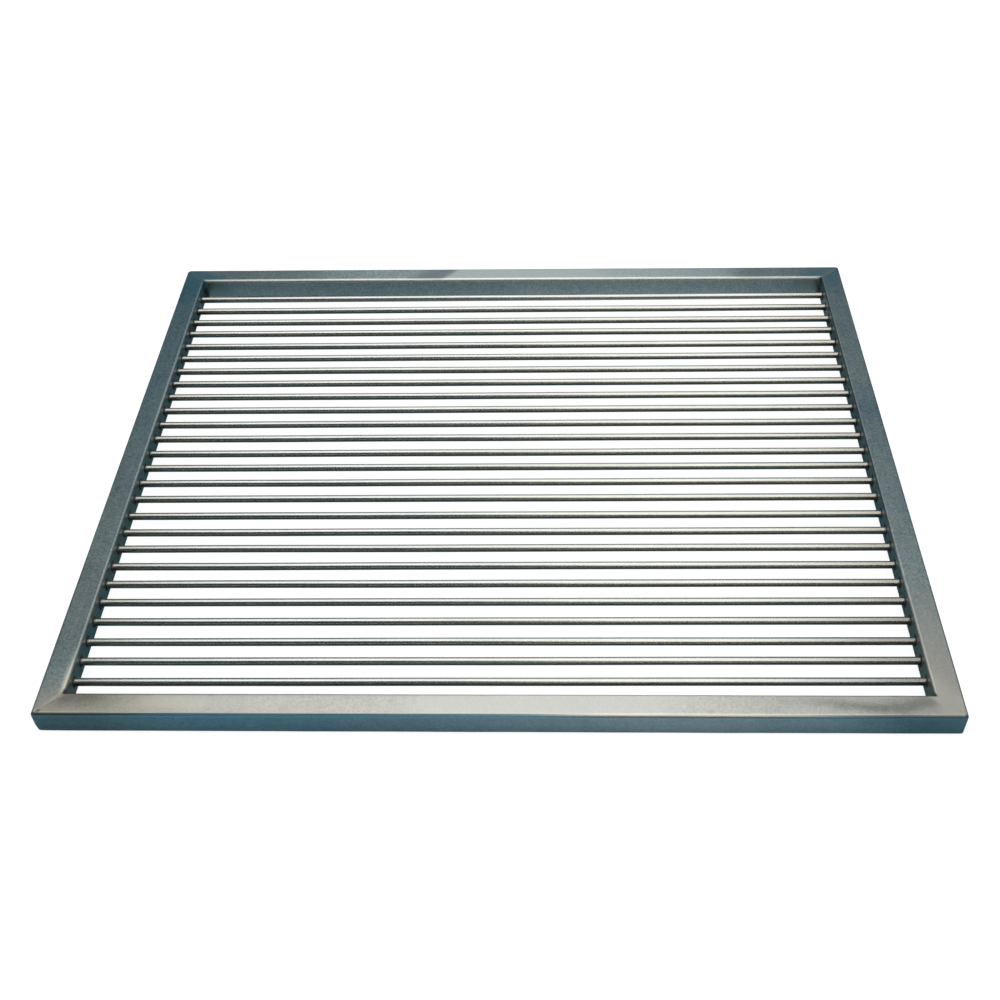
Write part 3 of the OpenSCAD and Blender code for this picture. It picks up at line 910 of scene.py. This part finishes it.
pale = bpy.data.materials.new("pale_floor")
pale.use_nodes = True
bsdf = pale.node_tree.nodes["Principled BSDF"]
bsdf.inputs["Base Color"].default_value = (0.30, 0.30, 0.30, 1)
bsdf.inputs["Roughness"].default_value = 1.0
bsdf.inputs["Specular IOR Level"].default_value = 0.0
bsdf.inputs["Emission Color"].default_value = (1, 1, 1, 1)
bsdf.inputs["Emission Strength"].default_value = 0.90
floor = stage_mesh("floor", *cove(), pale)
floor.visible_diffuse = floor.visible_glossy = floor.visible_shadow = False
floor.visible_transmission = False
floor.location.z = -0.0002

# what the steel mirrors below it: a cool table hidden from the camera, its colour painted as light and shade: a painted
# pool of light in front, painted shade under the grid and beside the side rails, lighter by the rear rail
t = Tree("table")
tx, ty, tz = t.split(t.coords())
under = t.mul(t.step(t.abs(tx), W / 2 + 4 * MM, W / 2 - 8 * MM), t.step(t.abs(ty), D / 2 + 4 * MM, D / 2 - 8 * MM))
glow = t.math("EXPONENT", t.mul(t.math("POWER", t.mul(t.sub(tx, 0.09), 1 / 0.13), 2.0), -1.0))
open_top = t.mix(glow, (0.185, 0.420, 0.610), (0.435, 0.665, 0.845))
open_top = t.mix(t.step(t.abs(tx), 0.180, 0.235), open_top, (0.135, 0.305, 0.430))
side = t.mix(t.step(tx, -0.1, 0.1), (0.215, 0.41, 0.475), (0.185, 0.36, 0.425))
side = t.mix(t.step(ty, 0.132, 0.172), side, t.mix(t.step(tx, -0.1, 0.1), (0.050, 0.085, 0.090), (0.07, 0.115, 0.125)))
side = t.mix(t.mul(t.step(ty, -0.170, -0.195), t.step(tx, 0.1, -0.1)), side, (0.40, 0.54, 0.60))
shade = t.mix(t.step(t.abs(tx), 0.214, 0.230), (0.115, 0.165, 0.175), side)
rear = t.mul(t.step(ty, 0.160, 0.185), t.step(t.abs(tx), 0.250, 0.232))
shade = t.mix(rear, shade, t.mix(glow, (0.42, 0.58, 0.63), (0.74, 0.87, 0.92)))
t.put(t.bsdf.inputs["Base Color"], t.mix(under, open_top, shade))
t.bsdf.inputs["Roughness"].default_value = 1.0
t.bsdf.inputs["Specular IOR Level"].default_value = 0.0
table_mat = t.mat
table = stage_mesh("table", [(-8, -8, 0), (8, -8, 0), (8, 8, 0), (-8, 8, 0)], [(0, 1, 2, 3)], table_mat)
table.visible_camera = False
table.location.z = -0.0004


def softbox(name, x0, x1, y0, y1, z, radiance, colour):
    """A flat overhead light over the given span, of the given radiance."""
    light = bpy.data.lights.new(name, "AREA")
    light.shape = "RECTANGLE"
    light.size, light.size_y = x1 - x0, y1 - y0
    light.color = colour
    light.energy = radiance * math.pi * light.size * light.size_y
    obj = bpy.data.objects.new(name, light)
    obj.location = ((x0 + x1) / 2, (y0 + y1) / 2, z)
    obj.visible_camera = False
    scene.collection.objects.link(obj)
    return obj


for name, x0, x1, y0, y1, radiance, colour in (
    ("softbox_1", -0.94, 0.76, -0.85, 0.90, 1.75, (1.0, 0.975, 0.935)),
    ("softbox_2", -1.14, 0.76, 0.90, 1.42, 1.07, (1.0, 0.968, 0.915)),
    ("softbox_3", -0.84, 0.66, 1.42, 1.75, 1.00, (1.0, 0.975, 0.93)),
    ("softbox_4", -0.72, 0.62, 1.75, 2.60, 0.95, (1.0, 0.99, 0.96)),
    ("softbox_5", -0.56, 0.60, 2.60, 3.50, 0.66, (0.97, 1.0, 0.985)),
    ("softbox_6", 0.76, 1.18, 0.60, 1.56, 0.66, (1.0, 0.965, 0.89)),
    ("softbox_7", 0.72, 1.25, 1.56, 2.30, 0.12, (1.0, 0.98, 0.93)),
    ("softbox_8", 0.06, 0.95, -2.60, -0.85, 1.70, (1.0, 0.910, 0.800)),
):
    softbox(name, x0, x1, y0, y1, 2.0, radiance, colour)

# the room around: dim and cool, darker towards the camera
world = bpy.data.worlds.new("room")
scene.world = world
world.use_nodes = True
nt = world.node_tree
nt.nodes.clear()
out = nt.nodes.new("ShaderNodeOutputWorld")
back = nt.nodes.new("ShaderNodeBackground")
tc = nt.nodes.new("ShaderNodeTexCoord")
sep = nt.nodes.new("ShaderNodeSeparateXYZ")
ramp = nt.nodes.new("ShaderNodeMapRange")
mix = nt.nodes.new("ShaderNodeMix")
mix.data_type = "RGBA"
nt.links.new(tc.outputs["Generated"], sep.inputs[0])
nt.links.new(sep.outputs["Y"], ramp.inputs["Value"])
ramp.inputs["From Min"].default_value, ramp.inputs["From Max"].default_value = -0.7, 0.3
nt.links.new(ramp.outputs["Result"], mix.inputs[0])
mix.inputs[6].default_value = (0.038, 0.050, 0.054, 1)
mix.inputs[7].default_value = (0.100, 0.170, 0.190, 1)
aside = nt.nodes.new("ShaderNodeMath")
aside.operation = "ABSOLUTE"
nt.links.new(sep.outputs["X"], aside.inputs[0])
edge_ramp = nt.nodes.new("ShaderNodeMapRange")
edge_ramp.interpolation_type = "SMOOTHSTEP"
nt.links.new(aside.outputs[0], edge_ramp.inputs["Value"])
edge_ramp.inputs["From Min"].default_value, edge_ramp.inputs["From Max"].default_value = 0.42, 0.62
sides = nt.nodes.new("ShaderNodeMix")
sides.data_type = "RGBA"
nt.links.new(edge_ramp.outputs["Result"], sides.inputs[0])
nt.links.new(mix.outputs[2], sides.inputs[6])
sides.inputs[7].default_value = (0.20, 0.26, 0.27, 1)
nt.links.new(sides.outputs[2], back.inputs["Color"])
nt.links.new(back.outputs[0], out.inputs["Surface"])

scene.view_settings.view_transform = "Standard"
scene.view_settings.look = "None"
